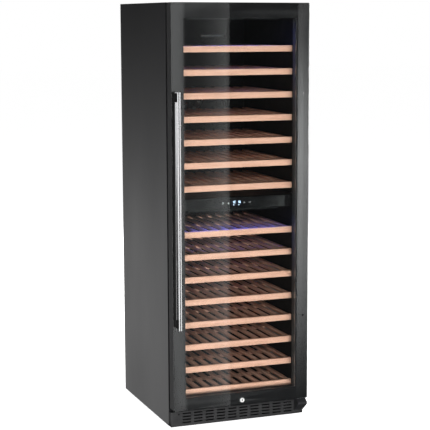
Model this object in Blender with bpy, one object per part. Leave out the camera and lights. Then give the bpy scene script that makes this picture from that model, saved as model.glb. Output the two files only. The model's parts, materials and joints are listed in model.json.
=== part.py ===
"""Tall two-zone wine cooler with a glass door, built piece by piece.

Metres, +Z up. The origin is on the floor under the middle of the whole cooler. The door is at the
front (-Y), its hinges are on the right (+X) and its handle is on the left (-X).
"""
import math

import bmesh
import bpy
from mathutils import Matrix, Vector

X, Y, Z = 0, 1, 2
GAP = 0.0003                     # clearance kept between pieces that touch
TOUCH = 1e-6

# Whole cooler
WIDTH = 0.595
HEIGHT = 1.745
BODY_DEPTH = 0.628
SEAL_DEPTH = 0.015               # gasket space between cabinet and door
DOOR_DEPTH = 0.0573
HANDLE_REACH = 0.045             # how far the handle stands off the glass

HALF = WIDTH / 2
BACK = (BODY_DEPTH + SEAL_DEPTH + DOOR_DEPTH + HANDLE_REACH) / 2
FRONT = BACK - BODY_DEPTH        # front plane of the cabinet
DOOR_BACK = FRONT - SEAL_DEPTH
DOOR_FRONT = DOOR_BACK - DOOR_DEPTH

# Cabinet
SHEET = 0.0012                   # steel skins
LINER = 0.0015
SIDE_BOTTOM = 0.012
SIDE_WALL = 0.033
INNER_HALF = HALF - SIDE_WALL
INNER_BACK = BACK - 0.050
INNER_TOP = HEIGHT - 0.057
UPPER_FLOOR = 0.9550
LOWER_CEILING = 0.9050
LOWER_FLOOR = 0.1235
FLANGE_BOTTOM = 0.0740           # where the cabinet front ends above the kick plate

# Compressor space under a step in the lower zone
STEP_TOP = 0.310
STEP_FRONT = 0.150
STEP_WALL = 0.040
DECK = 0.0865                    # underside of the insulation over the air duct

# Shelves
SHELF_PITCH = 0.0945
UPPER_SHELVES = 7
LOWER_SHELVES = 8
UPPER_FIRST = 1.5725             # top of the highest shelf front in each zone
LOWER_FIRST = 0.8168
SHALLOW_SHELVES = 2              # the lowest ones stop in front of the step
BOARD_HALF = 0.258
BOARD_HEIGHT = 0.0255
LOWEST_BOARD = LOWER_FIRST - (LOWER_SHELVES - 1) * SHELF_PITCH - BOARD_HEIGHT
BOARD_THICK = 0.018
BOARD_FRONT = FRONT + 0.010
SHELF_BACK = 0.272
SHALLOW_BACK = STEP_FRONT - 0.014
SLATS = 12
SLAT_WIDTH = 0.020
SLAT_THICK = 0.010
SLAT_DROP = 0.002                # slats lie this far under the top of the front board
BEAM_WIDTH = 0.012
LEDGE_THICK = 0.003
LEDGE_REACH = 0.014

# Door
DOOR_BOTTOM = 0.0896
DOOR_CORNER = 0.005
GLASS_THICK = 0.004
GLASS_CHAMFER = 0.0012
WINDOW_HALF = 0.2455
WINDOW_BOTTOM = 0.142
WINDOW_TOP = 1.6835
INNER_GLASS_BACK = DOOR_FRONT + 0.026
HINGE_X = HALF - 0.014
HINGE_Y = DOOR_FRONT + DOOR_DEPTH / 2
PIN_RADIUS = 0.004
PIN_HOLE_RADIUS = 0.0048
PIN_LENGTH = 0.012

# Handle
HANDLE_BOTTOM = 0.4365
HANDLE_TOP = 1.3945
HANDLE_WIDTH = 0.0235
HANDLE_LEFT = -HALF + 0.0015
BAR_THICK = 0.011
FACET_WIDTH = 0.0070
FACET_DEPTH = 0.0075
BLOCK_HEIGHT = 0.036
END_PLATE = 0.0025               # steel left over the upper end block
BLOCK_LIFT = 0.010               # steel left under the lower one
WEB_THICK = 0.004

# Lock
LOCK_Z = 0.1105
LOCK_RADIUS = 0.010
BARREL_RADIUS = 0.006
CAM_LENGTH = 0.022
CAM_WIDTH = 0.008
CAM_THICK = 0.003

# Controls
FASCIA_BOTTOM = 0.9075
FASCIA_TOP = 0.9527
FASCIA_HALF = 0.259
FASCIA_FRONT = FRONT - 0.010
FASCIA_DEPTH = 0.030
CONTROL_Z = 0.9310
FASCIA_BEVEL = 0.2435            # the hinge end slopes back from here
LENS_HALF = 0.023
LENS_HEIGHT = 0.018
LENS_DEPTH = 0.0025
KEY_PLACES = {"light": -0.0595, "lock": -0.0345, "up": 0.0345, "down": 0.0595}
KEY_WIDTH = 0.016
KEY_HEIGHT = 0.012
KEY_DEPTH = 0.004
KEY_PROUD = 0.0005
KEY_POCKET = 0.006

# Kick plate, standing a little in front of the cabinet
KICK_FRONT = FRONT - 0.025
KICK_BOTTOM = SIDE_BOTTOM
KICK_TOP = 0.0735
KICK_THICK = 0.002
KEEPER_TOP = 0.1005
KEEPER_FRONT = FRONT - 0.0102    # the lock's cam turns down behind this tab
KEEPER_HALF = 0.010
SLOT_COLUMNS = 10
SLOT_ROWS = 4
SLOT_PITCH_X = 0.0504
SLOT_PITCH_Z = 0.0128
SLOT_WIDTH = 0.0385
SLOT_HEIGHT = 0.0058
LOWEST_SLOT = 0.0261             # middle height of the lowest row

# Hinges
HINGE_SEAT = DOOR_BOTTOM - 0.0008
HINGE_ARM_BOTTOM = 0.0768
HINGE_PLATE_TOP = 0.1060
HINGE_ARM_LEFT = HALF - 0.042
HINGE_PLATE_LEFT = HALF - 0.075
HINGE_PLATE_THICK = 0.003
GUSSET_FRONT = DOOR_FRONT + 0.001
GUSSET_CHAMFER = 0.029
GUSSET_BACK = KICK_FRONT - 0.0015
TOP_ARM_HALF = 0.009
TOP_ARM_THICK = 0.0035
TOP_ARM_TOP = HEIGHT - 0.0008

# Back sheet
INLET_X = -0.235
INLET_Z = 0.110
VENT_COLUMNS = (-0.20, -0.11, 0.02, 0.11, 0.20)
VENT_ROWS = (0.06, 0.08, 0.14, 0.16, 0.18)
VENT_HALF = 0.035
VENT_HEIGHT = 0.006

# Feet
FOOT_RADIUS = 0.019
FOOT_HEIGHT = 0.008
FOOT_STUD = 0.005
FOOT_X = 0.250
FOOT_FRONT = FRONT + 0.050
FOOT_BACK = BACK - 0.048

# Fans
FAN_RADIUS = 0.048
FAN_HUB = 0.018
FAN_BLADES = 7
FAN_DEPTH = 0.0134
BLADE_PITCH = math.radians(30)
BLADE_CHORD = 0.024
BLADE_THICK = 0.0014
FAN_OPENING = 0.052
DUCT_FRONT = 0.284
DUCT_BACK = INNER_BACK - GAP
DUCT_WALL = 0.002
DUCT_HALF = 0.200
UPPER_DUCT = (0.970, 1.660)
LOWER_DUCT = (0.330, 0.880)
UPPER_FAN_Z = 1.330
LOWER_FAN_Z = 0.620
COOLING_FAN = Vector((-0.135, 0.235, 0.095))

FINISHES = {
    "black_enamel": ((0.035, 0.035, 0.038), 0.45, 0.0),
    "black_plastic": ((0.020, 0.020, 0.022), 0.50, 0.0),
    "fascia_gloss": ((0.050, 0.050, 0.055), 0.15, 0.0),
    "dark_liner": ((0.060, 0.060, 0.064), 0.55, 0.0),
    "galvanised": ((0.560, 0.570, 0.580), 0.40, 1.0),
    "foam": ((0.800, 0.740, 0.560), 0.90, 0.0),
    "glass": ((0.080, 0.090, 0.090), 0.05, 0.0),
    "rubber": ((0.020, 0.020, 0.020), 0.85, 0.0),
    "stainless": ((0.620, 0.620, 0.630), 0.28, 1.0),
    "beech": ((0.720, 0.480, 0.330), 0.50, 0.0),
    "compressor_black": ((0.015, 0.015, 0.016), 0.35, 0.0),
    "copper": ((0.720, 0.380, 0.240), 0.35, 1.0),
    "aluminium": ((0.780, 0.790, 0.800), 0.35, 1.0),
    "lamp_diffuser": ((0.600, 0.750, 0.950), 0.40, 0.0),
    "display_lens": ((0.100, 0.200, 0.320), 0.08, 0.0),
}


def clear_scene():
    for thing in list(bpy.data.objects):
        bpy.data.objects.remove(thing, do_unlink=True)


def make_finish(name):
    colour, roughness, metallic = FINISHES[name]
    finish = bpy.data.materials.new(name)
    finish.use_nodes = True
    shader = finish.node_tree.nodes["Principled BSDF"]
    shader.inputs["Base Color"].default_value = (*colour, 1.0)
    shader.inputs["Roughness"].default_value = roughness
    shader.inputs["Metallic"].default_value = metallic
    return finish


# ---- basic solids, each returned as a bmesh in the cooler's own frame

def block(low, high):
    low, high = Vector(low), Vector(high)
    bm = bmesh.new()
    bmesh.ops.create_cube(bm, size=1.0)
    stretch = Matrix.Diagonal((*(high - low), 1.0))
    bmesh.ops.transform(bm, matrix=Matrix.Translation((high + low) / 2) @ stretch, verts=bm.verts)
    return bm


def sweep_faces(bm, faces, axis, distance):
    swept = bmesh.ops.extrude_face_region(bm, geom=faces)
    moved = [part for part in swept["geom"] if isinstance(part, bmesh.types.BMVert)]
    shift = Vector((0.0, 0.0, 0.0))
    shift[axis] = distance
    bmesh.ops.translate(bm, vec=shift, verts=moved)
    bmesh.ops.recalc_face_normals(bm, faces=bm.faces)


def on_plane(axis, along, a, b):
    point = [a, b]
    point.insert(axis, along)
    return point


def prism(outline, axis, start, end):
    """Solid swept along one axis from an outline in the other two axes."""
    bm = bmesh.new()
    face = bm.faces.new([bm.verts.new(on_plane(axis, start, a, b)) for a, b in outline])
    sweep_faces(bm, [face], axis, end - start)
    return bm


def pierced_plate(axis, low, high, holes, start, end):
    """Flat plate with rectangular holes, each given as (a0, a1, b0, b1) in the plate's plane."""
    a_lines = sorted({round(a, 6) for a in (low[0], high[0], *(e for h in holes for e in h[:2]))})
    b_lines = sorted({round(b, 6) for b in (low[1], high[1], *(e for h in holes for e in h[2:]))})
    bm = bmesh.new()
    corners = {}

    def corner(a, b):
        if (a, b) not in corners:
            corners[a, b] = bm.verts.new(on_plane(axis, start, a, b))
        return corners[a, b]

    faces = []
    for a0, a1 in zip(a_lines, a_lines[1:]):
        for b0, b1 in zip(b_lines, b_lines[1:]):
            a, b = (a0 + a1) / 2, (b0 + b1) / 2
            if not any(h[0] < a < h[1] and h[2] < b < h[3] for h in holes):
                faces.append(bm.faces.new([corner(a0, b0), corner(a1, b0), corner(a1, b1), corner(a0, b1)]))
    sweep_faces(bm, faces, axis, end - start)
    bmesh.ops.dissolve_limit(bm, angle_limit=math.radians(1), verts=bm.verts, edges=bm.edges)
    return bm


def turned(profile, centre, axis, steps=24):
    """Solid of revolution about one axis from (radius, distance along the axis) points."""
    bm = bmesh.new()
    rings = []
    for radius, along in profile:
        ring = []
        for step in range(steps):
            turn = 2 * math.pi * step / steps
            offset = on_plane(axis, along, radius * math.cos(turn), radius * math.sin(turn))
            ring.append(bm.verts.new(Vector(centre) + Vector(offset)))
        rings.append(ring)
    for lower, upper in zip(rings, rings[1:]):
        for i in range(steps):
            j = (i + 1) % steps
            bm.faces.new((lower[i], lower[j], upper[j], upper[i]))
    bm.faces.new(rings[0])
    bm.faces.new(rings[-1])
    bmesh.ops.recalc_face_normals(bm, faces=bm.faces)
    return bm


def rod(centre, radius, axis, start, end, steps=16):
    centre = Vector(centre)
    centre[axis] = 0.0
    return turned(((radius, start), (radius, end)), centre, axis, steps)


def loose_object(bm):
    mesh = bpy.data.meshes.new("working")
    bm.to_mesh(mesh)
    bm.free()
    thing = bpy.data.objects.new("working", mesh)
    bpy.context.collection.objects.link(thing)
    return thing


def combine(base, added=(), removed=()):
    """Join solids to the base, then cut others out of it."""
    body = loose_object(base)
    tools = []
    for operation, pieces in (("UNION", added), ("DIFFERENCE", removed)):
        for piece in pieces:
            step = body.modifiers.new("step", "BOOLEAN")
            step.operation = operation
            step.solver = "EXACT"
            step.object = loose_object(piece)
            tools.append(step.object)
    depsgraph = bpy.context.evaluated_depsgraph_get()
    mesh = bpy.data.meshes.new_from_object(body.evaluated_get(depsgraph))
    bm = bmesh.new()
    bm.from_mesh(mesh)
    for thing in (body, *tools):
        bpy.data.objects.remove(thing, do_unlink=True)
    return bm


def piece(name, bm, finish, origin=(0.0, 0.0, 0.0), smooth=False):
    """Turn a solid into a named object whose origin is the given point."""
    bmesh.ops.translate(bm, vec=-Vector(origin), verts=bm.verts)
    mesh = bpy.data.meshes.new(name)
    bm.to_mesh(mesh)
    bm.free()
    mesh.materials.append(bpy.data.materials.get(finish) or make_finish(finish))
    if smooth:
        mesh.shade_smooth()
        mesh.set_sharp_from_angle(angle=math.radians(40))
    thing = bpy.data.objects.new(name, mesh)
    thing.location = origin
    bpy.context.collection.objects.link(thing)
    return thing


# ---- cabinet

def zone_outline(grow):
    """Side view (Y, Z) of the lower zone's hollow, with the step for the compressor."""
    front = FRONT - (0.010 if grow < 0 else 0.0)
    return ((front, LOWER_FLOOR - grow), (STEP_FRONT + grow, LOWER_FLOOR - grow),
            (STEP_FRONT + grow, STEP_TOP - grow), (INNER_BACK + grow, STEP_TOP - grow),
            (INNER_BACK + grow, LOWER_CEILING + grow), (front, LOWER_CEILING + grow))


def shifted_front(outline, front):
    return tuple((front if y == outline[0][0] else y, z) for y, z in outline)


def build_skins():
    for name, side in (("side_panel_left", -1), ("side_panel_right", 1)):
        low = min(side * HALF, side * (HALF - SHEET))
        skin = block((low, FRONT, SIDE_BOTTOM), (low + SHEET, BACK, HEIGHT))
        piece(name, skin, "black_enamel")
    inside = HALF - SHEET - GAP
    top = block((-inside, FRONT, HEIGHT - SHEET), (inside, BACK, HEIGHT))
    piece("top_panel", top, "black_enamel")
    vents = [(x - VENT_HALF, x + VENT_HALF, z, z + VENT_HEIGHT) for x in VENT_COLUMNS for z in VENT_ROWS]
    inlet = (INLET_X - 0.0165, INLET_X + 0.0165, INLET_Z - 0.0140, INLET_Z + 0.0140)
    back = pierced_plate(Y, (-inside, SIDE_BOTTOM + 0.003), (inside, HEIGHT - SHEET - GAP),
                         vents + [inlet], BACK - SHEET, BACK)
    piece("back_panel", back, "galvanised")


def build_power_inlet():
    body = block((INLET_X - 0.016, BACK - 0.024, INLET_Z - 0.0135),
                 (INLET_X + 0.016, BACK, INLET_Z + 0.0135))
    hollow = block((INLET_X - 0.0125, BACK - 0.020, INLET_Z - 0.010),
                   (INLET_X + 0.0125, BACK + 0.01, INLET_Z + 0.010))
    blades = [block((INLET_X + x - 0.001, BACK - 0.022, INLET_Z + z - 0.002),
                    (INLET_X + x + 0.001, BACK - 0.004, INLET_Z + z + 0.002))
              for x, z in ((-0.007, -0.003), (0.0, 0.003), (0.007, -0.003))]
    shell = combine(body, removed=[hollow])
    piece("power_inlet", combine(shell, added=blades), "black_plastic")


def build_base():
    inside = HALF - SHEET - GAP
    floor = SIDE_BOTTOM + 0.0005
    tray = block((-inside, FRONT + GAP, floor), (inside, BACK - SHEET - GAP, floor + SHEET))
    holes = [rod((x, y, 0), FOOT_STUD + 0.0008, Z, floor - 0.01, floor + 0.01)
             for x in (-FOOT_X, FOOT_X) for y in (FOOT_FRONT, FOOT_BACK)]
    piece("base_tray", combine(tray, removed=holes), "black_enamel")
    corners = (("front_left_foot", -1, FOOT_FRONT), ("front_right_foot", 1, FOOT_FRONT),
               ("rear_left_foot", -1, FOOT_BACK), ("rear_right_foot", 1, FOOT_BACK))
    for name, side, y in corners:
        middle = (side * FOOT_X, y, 0.0)
        profile = ((FOOT_RADIUS - 0.002, 0.0), (FOOT_RADIUS, 0.002), (FOOT_RADIUS, FOOT_HEIGHT - 0.002),
                   (FOOT_STUD + 0.004, FOOT_HEIGHT), (FOOT_STUD, FOOT_HEIGHT), (FOOT_STUD, 0.042))
        foot = turned(profile, middle, Z)
        piece(name, foot, "black_plastic", origin=middle, smooth=True)


def build_liners():
    inside = HALF - SHEET - GAP
    upper_low = (-INNER_HALF - LINER, FRONT, UPPER_FLOOR - LINER)
    upper_high = (INNER_HALF + LINER, INNER_BACK + LINER, INNER_TOP + LINER)
    upper_flange = block((-inside, FRONT, LOWER_CEILING + LINER + GAP),
                         (inside, FRONT + LINER, HEIGHT - SHEET - GAP))
    upper_hollow = block((-INNER_HALF, FRONT - 0.01, UPPER_FLOOR), (INNER_HALF, INNER_BACK, INNER_TOP))
    fascia_pocket = block((-FASCIA_HALF - GAP, FRONT - 0.01, LOWER_CEILING),
                          (FASCIA_HALF + GAP, FRONT + FASCIA_DEPTH, UPPER_FLOOR - LINER))
    upper = combine(block(upper_low, upper_high), added=[upper_flange], removed=[upper_hollow, fascia_pocket])
    piece("upper_liner", upper, "dark_liner")
    lower_shell = prism(zone_outline(LINER), X, -INNER_HALF - LINER, INNER_HALF + LINER)
    lower_flange = block((-inside, FRONT, FLANGE_BOTTOM), (inside, FRONT + LINER, LOWER_CEILING + LINER))
    hollow_outline = shifted_front(zone_outline(0.0), FRONT - 0.01)
    lower_hollow = prism(hollow_outline, X, -INNER_HALF, INNER_HALF)
    lower = combine(lower_shell, added=[lower_flange], removed=[lower_hollow])
    piece("lower_liner", lower, "dark_liner")


def build_insulation():
    inside = HALF - SHEET - GAP
    side = INNER_HALF + LINER + GAP
    front = FRONT + LINER + GAP
    body = block((-inside, front, DECK + GAP), (inside, BACK - SHEET - GAP, HEIGHT - SHEET - GAP))
    upper = block((-side, front - 0.01, UPPER_FLOOR - LINER - GAP),
                  (side, INNER_BACK + LINER + GAP, INNER_TOP + LINER + GAP))
    lower = prism(shifted_front(zone_outline(LINER + GAP), front - 0.01), X, -side, side)
    pocket = block((-inside - 0.01, front - 0.01, LOWER_CEILING),
                   (inside + 0.01, FRONT + FASCIA_DEPTH - 0.008, UPPER_FLOOR))
    machine_space = block((-inside - 0.01, STEP_FRONT + STEP_WALL, 0.0),
                          (inside + 0.01, BACK + 0.01, STEP_TOP - STEP_WALL))
    foam = combine(body, removed=[upper, lower, pocket, machine_space])
    piece("insulation_foam", foam, "foam")


# ---- shelves and their runners

def shelf_tops():
    upper = [UPPER_FIRST - i * SHELF_PITCH for i in range(UPPER_SHELVES)]
    lower = [LOWER_FIRST - i * SHELF_PITCH for i in range(LOWER_SHELVES)]
    return upper, lower


def shelf_solid(top, back):
    """Front board, a ladder of slats behind it, and the two beams that slide on the runners."""
    board = block((-BOARD_HALF, BOARD_FRONT, top - BOARD_HEIGHT),
                  (BOARD_HALF, BOARD_FRONT + BOARD_THICK, top))
    ladder_half = BOARD_HALF - 0.002
    pitch = (2 * ladder_half - SLAT_WIDTH) / (SLATS - 1)
    ladder_front = BOARD_FRONT + BOARD_THICK / 2
    gaps = []
    for i in range(SLATS - 1):
        left = -ladder_half + SLAT_WIDTH + i * pitch
        gaps.append((left, left + pitch - SLAT_WIDTH, ladder_front + 0.022, back - 0.022))
    ladder_top = top - SLAT_DROP
    ladder = pierced_plate(Z, (-ladder_half, ladder_front), (ladder_half, back),
                           gaps, ladder_top - SLAT_THICK, ladder_top)
    beams = []
    for side in (-1, 1):
        outer = side * (ladder_half - 0.001)
        inner = outer - side * BEAM_WIDTH
        beams.append(block((min(outer, inner), ladder_front, top - BOARD_HEIGHT + 0.0002),
                           (max(outer, inner), back - 0.001, ladder_top - SLAT_THICK / 2)))
    return combine(board, added=[ladder, *beams])


def build_shelves():
    upper, lower = shelf_tops()
    for number, top in enumerate(upper + lower, 1):
        shallow = number > UPPER_SHELVES + LOWER_SHELVES - SHALLOW_SHELVES
        back = SHALLOW_BACK if shallow else SHELF_BACK
        origin = (0.0, BOARD_FRONT, top)
        piece(f"shelf_{number:02d}", shelf_solid(top, back), "beech", origin=origin)


def runner_outline(tops, side, floor, ceiling):
    """Front view (X, Z) of a wall strip with one ledge under each shelf, from the floor up."""
    wall = side * (INNER_HALF - GAP)
    face = wall - side * 0.002
    tip = wall - side * LEDGE_REACH
    outline = [(wall, ceiling), (wall, floor), (face, floor)]
    for top in sorted(tops):
        ledge_top = top - BOARD_HEIGHT - GAP
        outline += [(face, ledge_top - LEDGE_THICK), (tip, ledge_top - LEDGE_THICK),
                    (tip, ledge_top), (face, ledge_top)]
    outline.append((face, ceiling))
    return outline


def build_runners():
    upper, lower = shelf_tops()
    front = BOARD_FRONT + 0.004
    for name, side in (("left", -1), ("right", 1)):
        high = runner_outline(upper, side, UPPER_FLOOR + 0.010, upper[0] + 0.02)
        piece(f"upper_{name}_runners", prism(high, Y, front, SHELF_BACK), "black_enamel")
        split = STEP_TOP + 0.002
        deep = runner_outline(lower[:-SHALLOW_SHELVES], side, split - 0.0015, lower[0] + 0.02)
        short = runner_outline(lower[-SHALLOW_SHELVES:], side, LOWER_FLOOR + GAP, split)
        deep_solid = prism(deep, Y, front + 0.0005, SHELF_BACK)
        short_solid = prism(short, Y, front, SHALLOW_BACK)
        piece(f"lower_{name}_runners", combine(short_solid, added=[deep_solid]), "black_enamel")


# ---- cooling

def fan_solid(centre):
    """Hub with flat pitched blades, turning about the depth axis."""
    hub = rod(centre, FAN_HUB, Y, centre[1] - FAN_DEPTH / 2, centre[1] + FAN_DEPTH / 2, steps=24)
    blades = []
    for number in range(FAN_BLADES):
        blade = block((FAN_HUB - 0.004, -BLADE_THICK / 2, -BLADE_CHORD / 2),
                      (FAN_RADIUS, BLADE_THICK / 2, BLADE_CHORD / 2))
        pitch = Matrix.Rotation(BLADE_PITCH, 4, "X")
        turn = Matrix.Rotation(2 * math.pi * number / FAN_BLADES, 4, "Y")
        place = Matrix.Translation(Vector(centre)) @ turn @ pitch
        bmesh.ops.transform(blade, matrix=place, verts=blade.verts)
        blades.append(blade)
    return combine(hub, added=blades)


def motor_spider(centre, reach, start, end):
    """Motor boss behind a fan, held by a cross of two arms."""
    x, _, z = centre
    boss = rod(centre, FAN_HUB - 0.003, Y, start, end)
    arm = 0.004
    across = block((x - reach, end - 0.003, z - arm), (x + reach, end - 0.0005, z + arm))
    upright = block((x - arm, end - 0.0032, z - reach), (x + arm, end - 0.0007, z + reach))
    return [boss, across, upright]


def build_air_side(zone, limits, fan_z):
    low, high = limits
    cover = block((-DUCT_HALF, DUCT_FRONT, low), (DUCT_HALF, DUCT_BACK, high))
    hollow = block((-DUCT_HALF + DUCT_WALL, DUCT_FRONT + DUCT_WALL, low + DUCT_WALL),
                   (DUCT_HALF - DUCT_WALL, DUCT_BACK + 0.01, high - DUCT_WALL))
    fan_hole = rod((0, 0, fan_z), FAN_OPENING, Y, DUCT_FRONT - 0.01, DUCT_FRONT + 0.01, steps=32)
    slots = [block((x - 0.055, DUCT_FRONT - 0.01, z), (x + 0.055, DUCT_FRONT + 0.01, z + 0.008))
             for x in (-0.10, 0.10) for z in (low + 0.03, low + 0.05, high - 0.058, high - 0.038)]
    shell = combine(cover, removed=[hollow, fan_hole, *slots])
    fan_middle = (0.0, DUCT_FRONT + 0.001, fan_z)
    spider_start = fan_middle[1] + FAN_DEPTH / 2 + 0.001
    spider = motor_spider(fan_middle, FAN_OPENING + 0.006, spider_start, spider_start + 0.009)
    posts = [rod((x, 0, fan_z), 0.003, Y, DUCT_FRONT + 0.0005, spider_start + 0.008, steps=8)
             for x in (-FAN_OPENING - 0.003, FAN_OPENING + 0.003)]
    piece(f"{zone}_air_duct", combine(shell, added=[*spider, *posts]), "dark_liner")
    piece(f"{zone}_fan_rotor", fan_solid(fan_middle), "black_plastic", origin=fan_middle)
    plate_front = DUCT_BACK - 0.010
    ridge = 0.012
    plate = block((-0.17, plate_front, low + 0.05), (0.17, plate_front + 0.0015, high - 0.05))
    rows = 6
    step = (high - low - 0.16) / (rows - 1)
    ridges = [block((-0.15, plate_front - 0.003, low + 0.08 + i * step - ridge / 2),
                    (0.15, plate_front + 0.0005, low + 0.08 + i * step + ridge / 2)) for i in range(rows)]
    piece(f"{zone}_evaporator", combine(plate, added=ridges), "aluminium")


def build_machinery():
    middle = Vector((0.115, 0.283, 0.0))
    tray_top = SIDE_BOTTOM + 0.0005 + SHEET + GAP
    profile = ((0.050, 0.012), (0.076, 0.022), (0.080, 0.060), (0.080, 0.110), (0.070, 0.150), (0.035, 0.168))
    pot = turned(profile, middle + Vector((0, 0, tray_top)), Z)
    plate = block((middle.x - 0.100, middle.y - 0.060, tray_top + 0.009),
                  (middle.x + 0.100, middle.y + 0.060, tray_top + 0.013))
    mounts = [rod((middle.x + x, middle.y + y, 0), 0.010, Z, tray_top, tray_top + 0.010)
              for x in (-0.085, 0.085) for y in (-0.048, 0.048)]
    piece("compressor", combine(pot, added=[plate, *mounts]), "compressor_black", smooth=True)
    build_condenser()
    build_cooling_fan(tray_top)


def build_condenser():
    """Serpentine tube lying in the air duct behind the kick plate."""
    passes = 7
    reach = 0.185
    spacing = 0.042
    height = 0.048
    first = FRONT + 0.080
    points = []
    for row in range(passes):
        y = first + row * spacing
        side = 1 if row % 2 == 0 else -1
        points += [(-side * reach, y), (side * reach, y)]
        if row < passes - 1:
            for k in range(1, 6):
                turn = math.pi * k / 6
                bulge = math.sin(turn) * spacing / 2
                points.append((side * (reach + bulge), y + (1 - math.cos(turn)) * spacing / 2))
    curve = bpy.data.curves.new("condenser_path", "CURVE")
    curve.dimensions = "3D"
    curve.bevel_depth = 0.004
    curve.bevel_resolution = 1
    curve.use_fill_caps = True
    line = curve.splines.new("POLY")
    line.points.add(len(points) - 1)
    for point, (x, y) in zip(line.points, points):
        point.co = (x, y, height, 1.0)
    curve.materials.append(make_finish("copper"))
    coil = bpy.data.objects.new("condenser_coil", curve)
    bpy.context.collection.objects.link(coil)


def build_cooling_fan(tray_top):
    x, y, z = COOLING_FAN
    side = FAN_OPENING + 0.008
    frame = block((x - side, y - 0.012, tray_top), (x + side, y + 0.013, z + side))
    bore = rod(COOLING_FAN, FAN_OPENING, Y, y - 0.02, y + 0.02, steps=32)
    shroud = combine(frame, removed=[bore])
    spider = motor_spider(COOLING_FAN, FAN_OPENING + 0.002, y + FAN_DEPTH / 2 + 0.001, y + 0.0125)
    piece("condenser_fan_shroud", combine(shroud, added=spider), "black_plastic")
    piece("condenser_fan_rotor", fan_solid(COOLING_FAN), "black_plastic", origin=COOLING_FAN)


# ---- lights and controls

def build_lights():
    for zone, ceiling in (("upper", INNER_TOP), ("lower", LOWER_CEILING)):
        bar = block((-0.20, FRONT + 0.020, ceiling - 0.010), (0.20, FRONT + 0.034, ceiling - GAP))
        piece(f"{zone}_led_bar", bar, "lamp_diffuser")


def fascia_solid():
    """Control strip, bevelled at its hinge end so that the door's seal swings past it."""
    outline = ((-FASCIA_HALF, FASCIA_FRONT + FASCIA_DEPTH), (-FASCIA_HALF, FASCIA_FRONT),
               (FASCIA_BEVEL, FASCIA_FRONT), (FASCIA_HALF - 0.0015, FRONT), (FASCIA_HALF, FRONT),
               (FASCIA_HALF, FASCIA_FRONT + FASCIA_DEPTH))
    return prism(outline, Z, FASCIA_BOTTOM, FASCIA_TOP)


def build_controls():
    wells = [(x, KEY_WIDTH / 2, KEY_HEIGHT / 2, KEY_POCKET) for x in KEY_PLACES.values()]
    wells.append((0.0, LENS_HALF, LENS_HEIGHT / 2, LENS_DEPTH + 0.0005))
    pockets = [block((x - a - 0.0005, FASCIA_FRONT - 0.01, CONTROL_Z - b - 0.0005),
                     (x + a + 0.0005, FASCIA_FRONT + depth, CONTROL_Z + b + 0.0005))
               for x, a, b, depth in wells]
    piece("control_fascia", combine(fascia_solid(), removed=pockets), "fascia_gloss")
    lens = block((-LENS_HALF, FASCIA_FRONT + 0.0002, CONTROL_Z - LENS_HEIGHT / 2),
                 (LENS_HALF, FASCIA_FRONT + LENS_DEPTH, CONTROL_Z + LENS_HEIGHT / 2))
    piece("display_window", lens, "display_lens")
    for name, x in KEY_PLACES.items():
        front = FASCIA_FRONT - KEY_PROUD
        key = block((x - KEY_WIDTH / 2, front, CONTROL_Z - KEY_HEIGHT / 2),
                    (x + KEY_WIDTH / 2, front + KEY_DEPTH, CONTROL_Z + KEY_HEIGHT / 2))
        piece(f"{name}_key", key, "fascia_gloss", origin=(x, front, CONTROL_Z))


# ---- kick plate and hinges

def build_kick_plate():
    """Slotted front, returns along its top and ends, and the tab that the lock's cam catches."""
    inside = HALF - SHEET - GAP
    slots = []
    for column in range(SLOT_COLUMNS):
        x = (column - (SLOT_COLUMNS - 1) / 2) * SLOT_PITCH_X
        for row in range(SLOT_ROWS):
            z = LOWEST_SLOT + row * SLOT_PITCH_Z
            slots.append((x - SLOT_WIDTH / 2, x + SLOT_WIDTH / 2, z - SLOT_HEIGHT / 2, z + SLOT_HEIGHT / 2))
    plate = pierced_plate(Y, (-inside, KICK_BOTTOM), (inside, KICK_TOP), slots,
                          KICK_FRONT, KICK_FRONT + KICK_THICK)
    middle = KICK_FRONT + KICK_THICK / 2
    inset = 0.0002
    returns = [block((-inside + inset, middle, KICK_TOP - KICK_THICK),
                     (inside - inset, FRONT - GAP, KICK_TOP - inset))]
    for left in (-inside + 2 * inset, inside - KICK_THICK - 2 * inset):
        returns.append(block((left, middle, KICK_BOTTOM + inset),
                             (left + KICK_THICK, FRONT - GAP - inset, KICK_TOP - KICK_THICK / 2)))
    returns.append(block((-KEEPER_HALF, KEEPER_FRONT, KICK_TOP - KICK_THICK / 2),
                         (KEEPER_HALF, KEEPER_FRONT + KICK_THICK, KEEPER_TOP)))
    piece("kick_plate", combine(plate, added=returns), "black_plastic")


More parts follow.
